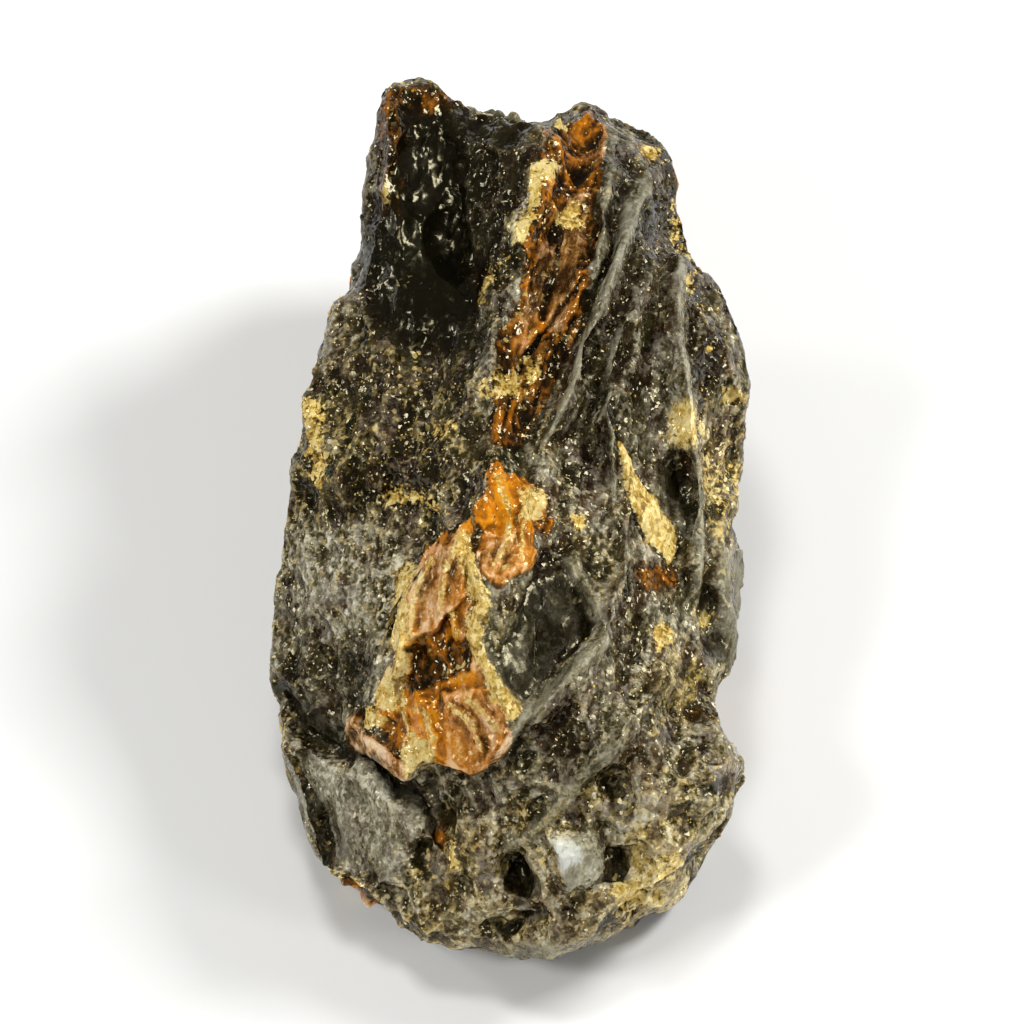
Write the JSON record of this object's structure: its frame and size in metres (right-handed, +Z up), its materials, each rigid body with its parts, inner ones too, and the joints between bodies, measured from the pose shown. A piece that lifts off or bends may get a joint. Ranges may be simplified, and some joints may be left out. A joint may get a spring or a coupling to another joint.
{
  "type": "raw amber piece",
  "caption": "Rough, elongated lump of dark raw amber with a ridged, ribbed crown, a ledge and crack near its foot and a weathered crust, lying on a flat fracture face.",
  "frame": {"origin": "middle of the lump's bounding box, on the flat face that it rests on", "axes": "+Z up from the resting face, +Y along the lump from its foot towards the tip of the long crest, +X to the right seen from the foot"},
  "size_m": [0.037, 0.0726, 0.0301],
  "materials": {
    "weathered_amber": "dark resin, glossy on fresh breaks, dull and grainy where the crust is"
  },
  "bodies": {
    "root": {"amber_lump": "weathered_amber"}
  },
  "joints": []
}
